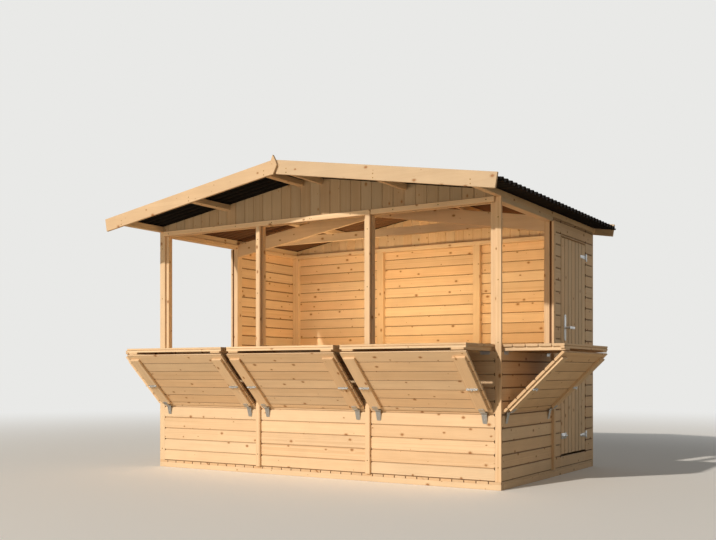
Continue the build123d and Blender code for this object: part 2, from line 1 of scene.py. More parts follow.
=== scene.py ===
"""A market stall of planed spruce with folded-down leaves, a corrugated roof and a side door.

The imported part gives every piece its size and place. This script builds the stall board
by board around it, and gives each surface its finish. Lengths are in metres, the front
faces -Y, and Z is up from the ground.
"""
import random
from contextlib import contextmanager
from functools import partial
from math import atan2, ceil, cos, pi, radians, sin, tan

import bpy
from mathutils import Matrix, Vector


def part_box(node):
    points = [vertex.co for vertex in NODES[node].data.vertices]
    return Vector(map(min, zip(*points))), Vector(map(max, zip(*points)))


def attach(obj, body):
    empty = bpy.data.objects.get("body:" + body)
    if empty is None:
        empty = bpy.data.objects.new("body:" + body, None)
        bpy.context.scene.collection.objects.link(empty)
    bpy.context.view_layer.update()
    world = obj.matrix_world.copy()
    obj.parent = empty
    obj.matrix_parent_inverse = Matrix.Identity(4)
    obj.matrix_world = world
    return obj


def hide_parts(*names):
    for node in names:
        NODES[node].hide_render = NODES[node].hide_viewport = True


bl_info = {
    "name": "Wooden market stall",
    "version": (1, 0, 0),
    "blender": (4, 5, 0),
    "location": "3D View > Sidebar > Stall",
    "description": "Builds a softwood market stall board by board",
    "category": "Object",
}

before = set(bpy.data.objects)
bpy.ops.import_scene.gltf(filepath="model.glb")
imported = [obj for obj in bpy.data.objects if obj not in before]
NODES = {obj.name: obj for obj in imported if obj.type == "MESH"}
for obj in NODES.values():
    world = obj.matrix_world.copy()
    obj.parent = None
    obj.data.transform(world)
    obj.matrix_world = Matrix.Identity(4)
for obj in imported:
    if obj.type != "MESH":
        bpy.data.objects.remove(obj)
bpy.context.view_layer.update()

X, Y, Z = 0, 1, 2
NEAR = 1e-5             # places closer than this are the same
BAYS = ("left", "middle", "right")
HALF_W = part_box("floor")[1].x
HALF_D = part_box("floor")[1].y
SILL_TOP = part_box("front_panel_left")[1].z
BOARD_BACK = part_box("right_panel_low")[0].x

# Boards
LONG = 0.020            # an edge along a board is longer than this, one across its thickness shorter
TONGUE_SHARE = 0.45     # a tongue's thickness, of its board's
BACK_CHAMFER = 0.0012   # of the side of a counter or leaf that shows less
FLOOR_BOARDS = 34
DOOR_BOARDS = 7
GABLE_START = 0.034     # cut off the first gable board, so that the joints meet the purlins' notches

# Counters and leaves, as the part has them
COUNTER_DEPTH = 0.450
LIP_WIDTH, LIP_DROP = 0.030, 0.015
COUNTER_WIDER, LEAF_WIDER = 0.0015, 0.0025  # added to the chamfers of their joints
LEAF_BOARD = 0.018      # the boards' thickness
LEAF_FOOT_OUT = 0.016   # from the wall
LEAF_FOOT_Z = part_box("front_leaf_middle")[0].z
BATTEN_WIDTH = 0.095
BATTEN_INSET = 0.017
BATTEN_THICKNESS = 0.020
BATTEN_START = 0.030    # up from the leaf's foot
BATTEN_END = 0.040      # down from its upper edge
CLEARANCE = 0.0003      # between pieces that only touch

# Steel
STEEL = 0.003           # thickness of a plate
STEEL_EDGE = 0.0006     # its eased edge
STRAP_LENGTH = 0.084    # of a foot bracket, down the wall
STRAP_LEAN = 0.20       # its top stands out from the wall
WING_ALONG = 0.040      # the middle of its wing, up the leaf
BOLT_ALONG = 0.257      # a slide bolt's place, up the leaf
BOLT_PLATE = 0.0015
HINGE_PLATE = 0.002     # of a counter hinge

# Frame, door and roof
STRIP_PROUD = 0.020     # of the wall
DOOR_GAP = 0.010
DOOR_FOOT = 0.0075      # the door's boards reach down into the gap
PITCH = radians(9.3)
PURLIN_LINES = (0.852, HALF_W - 0.022)  # of a purlin and a wall plate, from the ridge


class StallSettings(bpy.types.PropertyGroup):
    """Sizes and colours of the stall that can be changed before it is built."""

    board_cover: bpy.props.FloatProperty(
        name="Board cover", description="Visible width of one wall board and its joint",
        default=0.0948, min=0.05, max=0.2, unit="LENGTH")
    joint_gap: bpy.props.FloatProperty(
        name="Joint gap", description="Open joint between the faces of two boards",
        default=0.0035, min=0.0, max=0.01, unit="LENGTH")
    joint_chamfer: bpy.props.FloatProperty(
        name="Joint chamfer", description="Chamfer along a board's face edges",
        default=0.0045, min=0.0005, max=0.006, unit="LENGTH")
    foot_chamfer: bpy.props.FloatProperty(
        name="Foot chamfer", description="Chamfer along the lowest edge of a wall's face",
        default=0.008, min=0.001, max=0.010, unit="LENGTH")
    corner_cut: bpy.props.FloatProperty(
        name="Corner cut", description="Cut at the ends of the tongues, open beside a strip",
        default=0.011, min=0.001, max=0.015, unit="LENGTH")
    arris: bpy.props.FloatProperty(
        name="Arris", description="Eased edge of the framing timbers",
        default=0.002, min=0.0005, max=0.005, unit="LENGTH")
    spring_wood: bpy.props.FloatVectorProperty(
        name="Spring wood", description="Pale wood between the growth rings",
        default=(0.855, 0.625, 0.385), size=3, min=0, max=1, subtype="COLOR")
    summer_wood: bpy.props.FloatVectorProperty(
        name="Summer wood", description="Darker lines of the growth rings",
        default=(0.600, 0.360, 0.165), size=3, min=0, max=1, subtype="COLOR")
    knot_wood: bpy.props.FloatVectorProperty(
        name="Knots", description="Heart of the knots",
        default=(0.360, 0.185, 0.082), size=3, min=0, max=1, subtype="COLOR")
    roof_colour: bpy.props.FloatVectorProperty(
        name="Roof sheets", description="Colour of the bitumen fibre sheets",
        default=(0.0065, 0.0052, 0.0052), size=3, min=0, max=1, subtype="COLOR")


# Modelling


def only(*objects):
    """Selects these objects and nothing else, the first of them active."""
    bpy.ops.object.select_all(action="DESELECT")
    for obj in objects:
        obj.select_set(True)
    bpy.context.view_layer.objects.active = objects[0]


@contextmanager
def editing(obj, test=lambda item: True, kind="polygons"):
    """Edit mode, with the faces (polygons) or the edges selected that pass a test."""
    only(obj)
    mesh = obj.data
    for items in (mesh.vertices, mesh.edges, mesh.polygons):
        items.foreach_set("select", [False] * len(items))
    for item in getattr(mesh, kind):
        item.select = test(item)
    bpy.context.tool_settings.mesh_select_mode = (False, kind == "edges", kind == "polygons")
    bpy.ops.object.mode_set(mode="EDIT")
    yield
    bpy.ops.object.mode_set(mode="OBJECT")


def bevelled(obj, width, test, segments=1):
    """Bevels the edges whose two ends pass a test."""
    points = obj.data.vertices
    with editing(obj, lambda edge: test(*(points[i].co for i in edge.vertices)), "edges"):
        bpy.ops.mesh.bevel(offset=width, segments=segments, affect="EDGES")


def eased(obj, width, segments=1):
    """Takes the sharp edges off a piece with a bevel modifier."""
    only(obj)
    bevel = obj.modifiers.new("Eased edges", "BEVEL")
    bevel.width = width
    bevel.segments = segments
    bevel.limit_method = "ANGLE"
    bevel.angle_limit = radians(30)
    bpy.ops.object.modifier_apply(modifier=bevel.name)
    return obj


def primitive(kind, **options):
    """A cube, cylinder or circle, with its size, turn and place in its mesh."""
    bpy.ops.object.select_all(action="DESELECT")
    getattr(bpy.ops.mesh, f"primitive_{kind}_add")(**options)
    bpy.ops.object.transform_apply(location=True, rotation=True, scale=True)
    return bpy.context.object


def block(low, high):
    """A block between two corners."""
    low, high = Vector(low), Vector(high)
    return primitive("cube", size=1, location=(low + high) / 2, scale=high - low)


def rod(radius, start, end, place, vertices=16):
    """A round bar along X, at a place in Y and Z."""
    return primitive("cylinder", vertices=vertices, radius=radius, depth=end - start,
                     location=((start + end) / 2, *place), rotation=(0, pi / 2, 0))


def disc(radius, depth):
    """A round plate that faces -Y, with its back on y = 0."""
    return primitive("cylinder", vertices=16, radius=radius, depth=depth,
                     location=(0, -depth / 2, 0), rotation=(pi / 2, 0, 0))


def copied(obj, offset=(0, 0, 0)):
    """A copy with its own mesh, moved by an offset."""
    twin = obj.copy()
    twin.data = obj.data.copy()
    twin.data.transform(Matrix.Translation(offset))
    bpy.context.scene.collection.objects.link(twin)
    return twin


def turned(obj, angle, tilt=0.0, place=(0, 0, 0)):
    """Tilts a piece about X, moves it, and turns it round the stall's middle."""
    obj.data.transform(Matrix.Rotation(angle, 4, "Z") @ Matrix.Translation(place)
                       @ Matrix.Rotation(tilt, 4, "X"))
    return obj


def joined(pieces, name):
    """Several meshes as one piece."""
    only(*pieces)
    if len(pieces) > 1:
        bpy.ops.object.join()
    obj = bpy.context.object
    obj.name = obj.data.name = name
    return obj


def corners(obj):
    """The lowest and the highest corner of a piece."""
    points = [v.co for v in obj.data.vertices]
    return tuple(Vector([end(p[axis] for p in points) for axis in (X, Y, Z)]) for end in (min, max))


def marked(obj, name, values, vectors=False):
    """Stores a number for each face, or a vector for each vertex, where a material reads it."""
    kind, domain, field = ("FLOAT_VECTOR", "POINT", "vector") if vectors else ("FLOAT", "FACE", "value")
    obj.data.attributes.new(name, kind, domain).data.foreach_set(field, values)


def finished(obj, build):
    """Gives a piece one material."""
    obj.data.materials.clear()
    obj.data.materials.append(material(build))
    return obj


def season(obj, rng, run=None, tone=1.0):
    """Gives one timber its own grain: its place in the log, its shade and its end faces.

    run is the axis of the grain, by default that of the longest side. A tone below 1
    darkens a timber, for the bargeboards' age and the gables' painted shade, and one above 1
    lightens it, as the headers' painted light.
    """
    low, high = corners(obj)
    if run is None:
        run = max((X, Y, Z), key=lambda axis: high[axis] - low[axis])
    centre = (low + high) / 2
    order = (run, (run + 1) % 3, (run + 2) % 3)
    # Each comes from a place of its own: along 40 m of logs, and up to 70 mm from their heart.
    shift = (rng.uniform(0, 40), rng.uniform(-0.07, 0.07), rng.uniform(-0.07, 0.07))
    mesh = obj.data
    places = []
    for vertex in mesh.vertices:
        places += [vertex.co[axis] - centre[axis] + move for axis, move in zip(order, shift)]
    marked(obj, "log_place", places, vectors=True)
    marked(obj, "log_shade", [rng.random(), rng.random(), tone] * len(mesh.vertices), vectors=True)
    marked(obj, "end_grain", [float(abs(face.normal[run]) > 0.7) for face in mesh.polygons])
    return finished(obj, planed_spruce)


def seasoned(parts, rng, run):
    """Seasons several timbers, one after the other."""
    return [season(part, rng, run) for part in parts]


def put(obj, slot, *nodes, body="stall"):
    """Fixes a finished piece to its body and hides what it stands for. The name of its finish, slot, is not
    used.
    """
    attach(obj, body)
    if nodes:
        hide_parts(*nodes)


def solids_of(node, name):
    """The separate timbers of a CAD node, as merged copies with whole faces."""
    obj = bpy.data.objects.new(name, NODES[node].data.copy())
    bpy.context.scene.collection.objects.link(obj)
    with editing(obj):
        bpy.ops.mesh.remove_doubles(threshold=1e-5)
        bpy.ops.mesh.dissolve_limited(angle_limit=radians(0.5))
        bpy.ops.mesh.separate(type="LOOSE")
    return list(bpy.context.selected_objects)


def boxes_of(node):
    """Lowest and highest corners of the separate solids of a CAD node, in a fixed order."""
    found = solids_of(node, "measured")
    boxes = sorted((tuple(low), tuple(high)) for low, high in map(corners, found))
    for obj in found:
        bpy.data.objects.remove(obj)
    return boxes


def along(axis, value):
    """A vector along one axis."""
    vector = Vector((0, 0, 0))
    vector[axis] = value
    return vector


def profiled_board(low, high, up, thin, front, tongue=True, chamfers=None, corner=0.0, foot=0.0,
                   joint_shading=1.0, soiled=0.1):
    """A tongue-and-groove board: chamfered face edges, and the tongue in the open joint.

    up is the axis that the boards are laid along, thin the board's thickness, and front
    the side, +1 or -1 along thin, that shows the first of the two chamfers. A foot is a
    wider chamfer on the lowest face edge. The last two arguments are the shares of painted
    shade in the joint and on the chamfers.
    """
    settings = bpy.context.scene.stall
    near, far = chamfers or (settings.joint_chamfer, settings.joint_chamfer)
    low, high = Vector(low), Vector(high)
    if tongue:
        high[up] -= settings.joint_gap
    obj = block(low, high)
    middle = (low + high) / 2
    run = X + Y + Z - up - thin

    def on_face(side, a, b):
        """Whether an edge runs along the board on one side."""
        return abs(a[run] - b[run]) > LONG and min(side * (end[thin] - middle[thin]) for end in (a, b)) > 0

    if corner:
        bevelled(obj, corner, lambda a, b: abs(a[thin] - b[thin]) > NEAR)
    if foot:
        bevelled(obj, foot, lambda a, b: on_face(front, a, b) and max(a[up], b[up]) < low[up] + NEAR)
    bevelled(obj, near, lambda a, b: on_face(front, a, b) and not (foot and max(a[up], b[up]) < middle[up]))
    bevelled(obj, far, lambda a, b: on_face(-front, a, b))
    if tongue:
        with editing(obj, lambda face: face.normal[up] > 0.99):
            bpy.ops.mesh.extrude_region_move()
            squeeze = Vector((1, 1, 1)) + along(thin, TONGUE_SHARE - 1)
            bpy.ops.transform.resize(value=squeeze, center_override=middle)
            rise = along(up, settings.joint_gap)
            bpy.ops.mesh.extrude_region_move(TRANSFORM_OT_translate={"value": rise})

    # Painted shade where shade falls: the corner cuts get it whole, the foot and the joint in part.
    painted_shade = []
    for face in obj.data.polygons:
        inside = tongue and (face.normal[up] > 0.9 or face.center[up] > high[up] + NEAR)
        sloped = 0.2 < abs(face.normal[up]) < 0.9
        cut = sloped and abs(face.normal[run]) > 0.2
        under = sloped and face.center[up] < low[up] + foot
        painted_shade.append(max(1.0 * cut, 0.7 * under, joint_shading * inside, soiled * sloped))
    marked(obj, "joint_stain", painted_shade)
    return obj


def board_field(low, high, up, thin, front, cover=None, foot=0.0, **options):
    """Boards laid side by side between two corners, the last one cut to what is left."""
    cover = cover or bpy.context.scene.stall.board_cover
    # A thousandth of a board is no board.
    count = ceil((high[up] - low[up]) / cover - 0.001)
    first_high, last_low = Vector(high), Vector(low)
    first_high[up] = low[up] + cover
    last_low[up] = low[up] + (count - 1) * cover
    boards = []
    if count > 1:
        boards = [profiled_board(low, first_high, up, thin, front, foot=foot, **options)]
        model = profiled_board(low, first_high, up, thin, front, **options)
        boards += [copied(model, along(up, number * cover)) for number in range(1, count - 1)]
        bpy.data.objects.remove(model)
    boards.append(profiled_board(last_low, high, up, thin, front, tongue=False,
                                 foot=0.0 if boards else foot, **options))
    return boards


# Materials


BLEND = {"data_type": "RGBA"}
SMOOTH = {"interpolation_type": "SMOOTHSTEP"}
PLUS, TIMES, MOST, BELOW = ({"operation": kind} for kind in ("ADD", "MULTIPLY", "MAXIMUM", "LESS_THAN"))


def linear(code):
    """An sRGB hex colour as linear values."""
    channels = [int(code[i:i + 2], 16) / 255 for i in (1, 3, 5)]
    return tuple(c / 12.92 if c <= 0.04045 else ((c + 0.055) / 1.055) ** 2.4 for c in channels)


def fill(node, **inputs):
    """Links or fills a node's inputs.

    An input is named as it is in Blender with _ for a space, or i and its number. A node as
    a value stands for the first output that it has in use.
    """
    for key, value in inputs.items():
        numbered = key[0] == "i" and key[1:].isdigit()
        slot = node.inputs[int(key[1:]) if numbered else key.replace("_", " ")]
        if isinstance(value, bpy.types.Node):
            value = next(output for output in value.outputs if output.enabled)
        if isinstance(value, bpy.types.NodeSocket):
            node.id_data.links.new(value, slot)
        else:
            slot.default_value = (*value, 1) if slot.type == "RGBA" else value


def add_node(tree, kind, settings=None, **inputs):
    """Adds a node with its settings, and links or fills its inputs."""
    node = tree.nodes.new("ShaderNode" + kind)
    for key, value in (settings or {}).items():
        if key == "stops":
            for stop, (place, colour) in zip(node.color_ramp.elements, value):
                stop.position, stop.color = place, (*colour, 1)
        else:
            setattr(node, key, value)
    fill(node, **inputs)
    return node


def material(build):
    """The material that a function builds, named for it and built when it is first asked for.

    The function gets add_node for the material's tree, and the shader to fill.
    """
    made = bpy.data.materials.get(build.__name__)
    if not made:
        made = bpy.data.materials.new(build.__name__)
        made.use_nodes = True
        build(partial(add_node, made.node_tree), made.node_tree.nodes["Principled BSDF"])
    return made


def planed_spruce(add, shader):
    """Planed spruce, drawn in the log's own directions: X is the grain.

    Softwood from the planer is pale and even, with darker summer wood in each growth ring,
    small knots with a dark rim, and a dull sheen that catches light along the fibres.
    """
    settings = bpy.context.scene.stall
    place, shade, ends, joint_shade = (
        add("Attribute", {"attribute_name": name}).outputs[output] for name, output in (
            ("log_place", "Vector"), ("log_shade", "Vector"), ("end_grain", "Fac"), ("joint_stain", "Fac")))
    seeds = add("SeparateXYZ", Vector=shade).outputs
    log = add("SeparateXYZ", Vector=place).outputs

    # A knot runs right through a board, so it is drawn on the grain and on the way across it.
    across = add("Math", PLUS, i0=log["Y"], i1=log["Z"])
    flat = add("CombineXYZ", X=log["X"], Y=across)
    edge = add("TexNoise", {"noise_dimensions": "2D"}, Vector=flat, Scale=90.0, Detail=2.0)
    frayed = add("VectorMath", {"operation": "MULTIPLY_ADD"}, i0=edge.outputs["Color"],
                 i1=(0.006, 0.006, 0), i2=flat)
    # Each cell of 130 mm across and 190 mm along has a knot, a third of them 5 mm and the
    # rest up to 20 mm.
    cells = add("Mapping", Vector=frayed, Scale=(0.68, 1, 1))
    knot = add("TexVoronoi", {"voronoi_dimensions": "2D"}, Vector=cells, Scale=7.7, Randomness=0.9)
    chance = add("SeparateColor", Color=knot.outputs["Color"]).outputs
    size = add("MapRange", Value=chance["Red"], From_Min=0.35, From_Max=1.0,
               To_Min=0.018, To_Max=0.076)
    reach = add("Math", {"operation": "DIVIDE"}, i0=knot.outputs["Distance"], i1=size)
    heart, halo, swirl = (
        add("MapRange", SMOOTH, Value=reach, From_Min=full, From_Max=none, To_Min=share, To_Max=0.0)
        for full, none, share in ((0.75, 1.2, 0.85), (0.9, 2.4, 0.6), (0.6, 3.4, 0.016)))

    # Growth rings are drawn 6 mm apart: the real 3 mm would be lost at the picture's size.
    slow = add("Mapping", Vector=place, Scale=(0.05, 1, 1))
    bent = add("VectorMath", PLUS, i0=slow, i1=swirl)
    rings = add("TexWave", {"wave_type": "RINGS", "rings_direction": "X", "wave_profile": "SAW"},
                Vector=bent, Scale=0.314 / 0.006, Distortion=2.4, Detail=2.0, Detail_Scale=0.4)
    # Fibres are drawn 3 mm thick, and bands of wider and narrower rings 28 mm.
    fibre_place = add("Mapping", Vector=place, Scale=(0.03, 1, 1))
    fibres = add("TexNoise", Vector=fibre_place, Scale=300.0, Detail=3.0, Roughness=0.6)
    bands = add("TexNoise", Vector=slow, Scale=36.0, Detail=2.0)
    patches = add("TexNoise", Vector=place, Scale=5.0, Detail=2.0)

    late = add("MapRange", Value=rings.outputs["Fac"], From_Min=0.45, From_Max=1.0,
               To_Min=0.0, To_Max=0.30)
    streak, band = (add("MapRange", Value=noise, From_Min=0.3, From_Max=0.75, To_Min=least, To_Max=most)
                    for noise, least, most in ((fibres, -0.04, 0.13), (bands, -0.06, 0.14)))
    lines = add("Math", PLUS, i0=late, i1=streak)
    wood = add("Math", {"operation": "ADD", "use_clamp": True}, i0=lines, i1=band)
    dark = add("Math", MOST, i0=wood, i1=halo)
    grain = add("Mix", BLEND, i0=dark, i6=settings.spring_wood, i7=settings.summer_wood)

    # Boards of one stack differ by a shade, and so do patches of 200 mm on each.
    level, depth, tint = (
        add("MapRange", Value=seeds[axis], To_Min=start, To_Max=end)
        for axis, start, end in (("X", 0.91, 1.03), ("Y", 0.88, 1.02), ("Y", 0.503, 0.497)))
    patch = add("MapRange", Value=patches, From_Min=0.3, From_Max=0.7, To_Min=0.96, To_Max=1.03)
    fresh = add("Math", TIMES, i0=level, i1=patch)
    # Each timber's tone scales it too: the bargeboards' age, the gables' painted shade and the headers'
    # painted light.
    value = add("Math", TIMES, i0=fresh, i1=seeds["Z"])
    toned = add("HueSaturation", Hue=tint, Saturation=depth, Value=value, Color=grain)
    end_share = add("Math", TIMES, i0=ends, i1=0.2)
    sawn = add("Mix", BLEND, i0=end_share, i6=toned, i7=linear("#A87B4C"))
    core = add("MapRange", Value=reach, From_Min=0.2, From_Max=0.9)
    rim = add("Mix", BLEND, i0=core, i6=linear("#9C6336"), i7=settings.knot_wood)
    knotty = add("Mix", BLEND, i0=heart, i6=sawn, i7=rim)
    # Painted shade: the joints, chamfers, cut corners and slots that the mesh marks are darkened toward deep
    # brown.
    joint_shading = add("Mix", BLEND, i0=joint_shade, i6=knotty, i7=linear("#694529"))

    gloss = add("MapRange", Value=dark, To_Min=0.64, To_Max=0.5)
    relief = add("Math", PLUS, i0=late, i1=fibres)
    bump = add("Bump", Strength=0.25, Distance=0.0005, Height=relief)
    fill(shader, Base_Color=joint_shading, Roughness=gloss, IOR=1.45, Specular_IOR_Level=0.3, Normal=bump)


def galvanised_steel(add, shader):
    """Hot-dip galvanised steel: dull silver with a faint patchwork of zinc crystals."""
    place = add("TexCoord").outputs["Object"]
    # Zinc crystals are about 12 mm across, and the steel has worn in patches of 25 mm.
    crystals = add("TexVoronoi", Vector=place, Scale=85.0).outputs["Color"]
    colour = add("ValToRGB", {"stops": [(0.1, linear("#858A8E")), (0.8, linear("#F6F7F8"))]},
                 Fac=crystals)
    worn = add("TexNoise", Vector=place, Scale=40.0, Detail=3.0)
    rough = add("MapRange", Value=worn, From_Min=0.3, From_Max=0.7, To_Min=0.38, To_Max=0.55)
    # The zinc has weathered to a pale oxide, so part of the light is scattered.
    fill(shader, Base_Color=colour, Roughness=rough, Metallic=0.45)


def yellow_zinc(add, shader):
    """Yellow-passivated zinc of wood screws: a dull, dark brass tone, as sunk heads look."""
    place = add("TexCoord").outputs["Object"]
    # Patches of 17 mm give each head a tone of its own.
    worn = add("TexNoise", Vector=place, Scale=60.0, Detail=3.0)
    colour = add("ValToRGB", {"stops": [(0.3, linear("#8A6A3C")), (0.7, linear("#B08E58"))]}, Fac=worn)
    fill(shader, Base_Color=colour, Roughness=0.6, Metallic=1.0)


def bitumen_fibre_sheet(add, shader):
    """Bitumen-soaked fibre sheet: almost black, matt, with a felted skin of pressed fibres."""
    place = add("TexCoord").outputs["Object"]
    # Dust lies in patches of 140 mm.
    dust = add("TexNoise", Vector=place, Scale=7.0, Detail=5.0, Roughness=0.6)
    dusty = add("MapRange", Value=dust, From_Min=0.45, From_Max=0.75, To_Min=0.0, To_Max=0.2)
    colour = add("Mix", BLEND, i0=dusty, i6=bpy.context.scene.stall.roof_colour, i7=linear("#35302E"))
    # Underneath, within the walls, the sheets are painted brown: painted bounce light from the wood around
    # them.
    normal = add("TexCoord").outputs["Normal"]
    down = add("SeparateXYZ", Vector=normal).outputs["Z"]
    under = add("Math", BELOW, i0=down, i1=0.0)
    share = add("VectorMath", {"operation": "DIVIDE"}, i0=place, i1=(HALF_W, HALF_D, 1))
    apart = add("VectorMath", {"operation": "ABSOLUTE"}, i0=share)
    sides = add("SeparateXYZ", Vector=apart).outputs
    furthest = add("Math", MOST, i0=sides["X"], i1=sides["Y"])
    indoors = add("Math", BELOW, i0=furthest, i1=0.99)
    warm_bounce = add("Math", TIMES, i0=under, i1=indoors)
    skin = add("Mix", BLEND, i0=warm_bounce, i6=colour, i7=linear("#755740"))
    # The felt's fibres lie 2 to 3 mm apart.
    felt = add("TexNoise", Vector=place, Scale=420.0, Detail=4.0, Roughness=0.7)
    bump = add("Bump", Strength=0.5, Distance=0.0008, Height=felt)
    fill(shader, Base_Color=skin, Roughness=0.88, IOR=1.6, Specular_IOR_Level=0.2, Normal=bump)


# Boards


class STALL_OT_wall_boards(bpy.types.Operator):
    """Lay the horizontal tongue-and-groove boards of the walls"""

    bl_idname = "stall.wall_boards"
    bl_label = "Wall boards"

    def execute(self, context):
        walls = [("front_boards_" + bay, "front_panel_" + bay, Y, -1) for bay in BAYS]
        walls += [("back_boards", "back_wall", Y, 1),
                  ("right_boards_low", "right_panel_low", X, 1),
                  ("left_boards_low", "left_panel_low", X, -1),
                  ("left_boards_rear", "left_wall_rear", X, -1),
                  ("right_boards_before_door", "right_wall_door_front", X, 1),
                  ("right_boards_behind_door", "right_wall_door_rear", X, 1),
                  ("right_boards_under_door", "right_wall_under_door", X, 1),
                  ("right_boards_over_door", "right_wall_over_door", X, 1)]
        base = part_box("front_panel_left")[0].z
        settings = context.scene.stall
        cover = settings.board_cover
        for name, node, thin, front in walls:
            # Painted shade in the joints: the side walls, which lie in shade, get it on their chamfers too,
            # and the sunlit front less in its joints.
            joint_shade_shares = {"soiled": 0.5} if thin == X else {"joint_shading": 0.55 if front == -1 else 1.0}
            boards = []
            for low, high in boxes_of(node):
                foot = settings.foot_chamfer if low[Z] < base + NEAR else 0.0
                if not foot:
                    # The courses run through over the door, so the first board is cut from below.
                    joint = min(base + cover * (int((low[Z] - base) / cover) + 1), high[Z])
                    boards.append(profiled_board(low, (high[X], high[Y], joint), Z, thin, front, **joint_shade_shares))
                    low = (low[X], low[Y], joint)
                boards += board_field(low, high, Z, thin, front, foot=foot,
                                      corner=settings.corner_cut, **joint_shade_shares)
            boards = seasoned(boards, random.Random(name), X + Y - thin)
            put(joined(boards, name), "spruce_boards", node)
        return {"FINISHED"}


class STALL_OT_floor_boards(bpy.types.Operator):
    """Lay the floor boards from front to back"""

    bl_idname = "stall.floor_boards"
    bl_label = "Floor boards"

    def execute(self, context):
        low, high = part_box("floor")
        boards = board_field(low, high, X, Z, 1, cover=(high.x - low.x) / FLOOR_BOARDS,
                             chamfers=(0.004, 0.001), corner=0.002)
        boards = seasoned(boards, random.Random("floor_boards"), Y)
        put(joined(boards, "floor_boards"), "spruce_boards", "floor")
        return {"FINISHED"}


class STALL_OT_gable_boards(bpy.types.Operator):
    """Cut the gables into upright boards that follow the roof"""

    bl_idname = "stall.gable_boards"
    bl_label = "Gable boards"

    def execute(self, context):
        settings = context.scene.stall
        # The front gable is darkened as painted shade of the overhang, and the back one a little.
        for node, tone in (("front_gable", 0.64), ("back_gable", 0.92)):
            name = node + "_boards"
            rng = random.Random(name)
            sheet, = solids_of(node, name)
            low, high = corners(sheet)
            boards = []
            edge, end = low.x, low.x - GABLE_START
            while edge < high.x - NEAR:
                end = min(end + settings.board_cover, high.x)
                face_end = end - (settings.joint_gap if end < high.x - NEAR else 0)
                board = season(self.cut(sheet, edge, face_end), rng, Z, tone)
                bevelled(board, settings.joint_chamfer, lambda a, b: abs(a.z - b.z) > LONG
                         and max(abs(a.x - b.x), min(abs(a.x - edge), abs(a.x - face_end))) < NEAR)
                boards.append(board)
                if face_end < end:
                    tongue = season(self.cut(sheet, face_end, end), rng, Z, tone)
                    with editing(tongue):
                        bpy.ops.transform.resize(value=(1, TONGUE_SHARE, 1), center_override=(low + high) / 2)
                    boards.append(tongue)
                edge = end
            bpy.data.objects.remove(sheet)
            put(joined(boards, name), "spruce_boards", node)
        return {"FINISHED"}

    def cut(self, sheet, start, end):
        """The slice of a gable between two places along X."""
        board = copied(sheet)
        for place, side in ((start, "clear_inner"), (end, "clear_outer")):
            with editing(board):
                bpy.ops.mesh.bisect(plane_co=(place, 0, 0), plane_no=(1, 0, 0), use_fill=True, **{side: True})
        return board


# Framing


class STALL_OT_framing(bpy.types.Operator):
    """Ease the edges of the posts, rails, strips, purlins, rafters and bargeboards"""

    bl_idname = "stall.framing"
    bl_label = "Framing timbers"

    def execute(self, context):
        groups = {
            "bearers": ("cross_bearers", "side_bearers"),
            "corner_and_bay_posts": ("front_posts", "back_posts", "side_posts", "door_posts"),
            "rails_low": ("sole_rails", "sill_rails"),
            "rails_top": ("cross_top_rails", "side_top_rails"),
            "cover_strips_front": ("front_cover_strips",),
            "cover_strips_back": ("back_cover_strips",),
            "cover_strips_side": ("side_cover_strips",),
            "header_battens": ("front_header", "back_header"),
            "purlins": ("wall_plates", "side_purlins", "ridge_purlins"),
            "truss": ("truss_rafter_left", "truss_rafter_right", "truss_tie"),
            "bargeboards_front": ("front_bargeboard_left", "front_bargeboard_right"),
            "bargeboards_back": ("back_bargeboard_left", "back_bargeboard_right"),
        }
        # The bargeboards have aged darker, and the headers are lighter as painted light from below.
        tones = {"bargeboards_front": 0.86, "bargeboards_back": 0.86, "header_battens": 1.08}
        for name, nodes in groups.items():
            rng = random.Random(name)
            members = []
            for node in nodes:
                found = sorted(solids_of(node, name), key=lambda obj: tuple(corners(obj)[0]))
                members += [season(obj, rng, tone=tones.get(name, 1.0)) for obj in found]
            piece = eased(joined(members, name), context.scene.stall.arris)
            if name == "cover_strips_side":
                self.stain_slots(piece)
            put(piece, "spruce_framing", *nodes)
        return {"FINISHED"}

    def stain_slots(self, strips):
        """Paints shade into the slots that lie behind the side strips, in the thickness of the wall boards.
        """
        marked(strips, "joint_stain", [float(
            BOARD_BACK < abs(face.center.x) < HALF_W and face.center.z > SILL_TOP
            and abs(face.normal.y) > 0.5) for face in strips.data.polygons])


# Counters and leaves


def leaf_frame():
    """Angle and length of a leaf, from its foot on the wall to the counter's battens."""
    run = COUNTER_DEPTH - LEAF_FOOT_OUT
    angle = radians(45)
    # The board's thickness stands in the way by the angle, so a few rounds settle it.
    for _ in range(12):
        rise = SILL_TOP - CLEARANCE - LEAF_BOARD * cos(angle) - LEAF_FOOT_Z
        angle = atan2(rise, run)
    return angle, run / cos(angle)


LEAF_ANGLE, LEAF_LENGTH = leaf_frame()


def leaf_places():
    """For each counter and leaf: side and bay, ends along the wall, and the wall's turn and distance."""
    for bay in BAYS:
        low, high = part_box("front_counter_" + bay)
        yield "front", bay, low.x, high.x, 0.0, HALF_D
    low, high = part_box("right_counter")
    yield "right", "", low.y, high.y, pi / 2, HALF_W
    low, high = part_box("left_counter")
    yield "left", "", -high.y, -low.y, -pi / 2, HALF_W


def batten_centres(x0, x1):
    """The middles of the two battens of a counter or leaf between two ends."""
    return x0 + BATTEN_INSET + BATTEN_WIDTH / 2, x1 - BATTEN_INSET - BATTEN_WIDTH / 2


def batten_places():
    """For each batten: the turn and distance of its wall, and its place along it."""
    for _, _, x0, x1, turn, wall in leaf_places():
        for centre in batten_centres(x0, x1):
            yield turn, wall, centre


def battens(x0, x1, start, end, rng):
    """The two battens of a counter or leaf, between two places in Y and Z."""
    half, arris = BATTEN_WIDTH / 2, bpy.context.scene.stall.arris
    return [season(eased(block((centre - half, *start), (centre + half, *end)), arris), rng, Y)
            for centre in batten_centres(x0, x1)]


def piece_name(side, bay, what):
    """A name such as front_leaf_left, or left_leaf where the wall has no bays."""
    return "_".join(filter(None, (side, what, bay)))


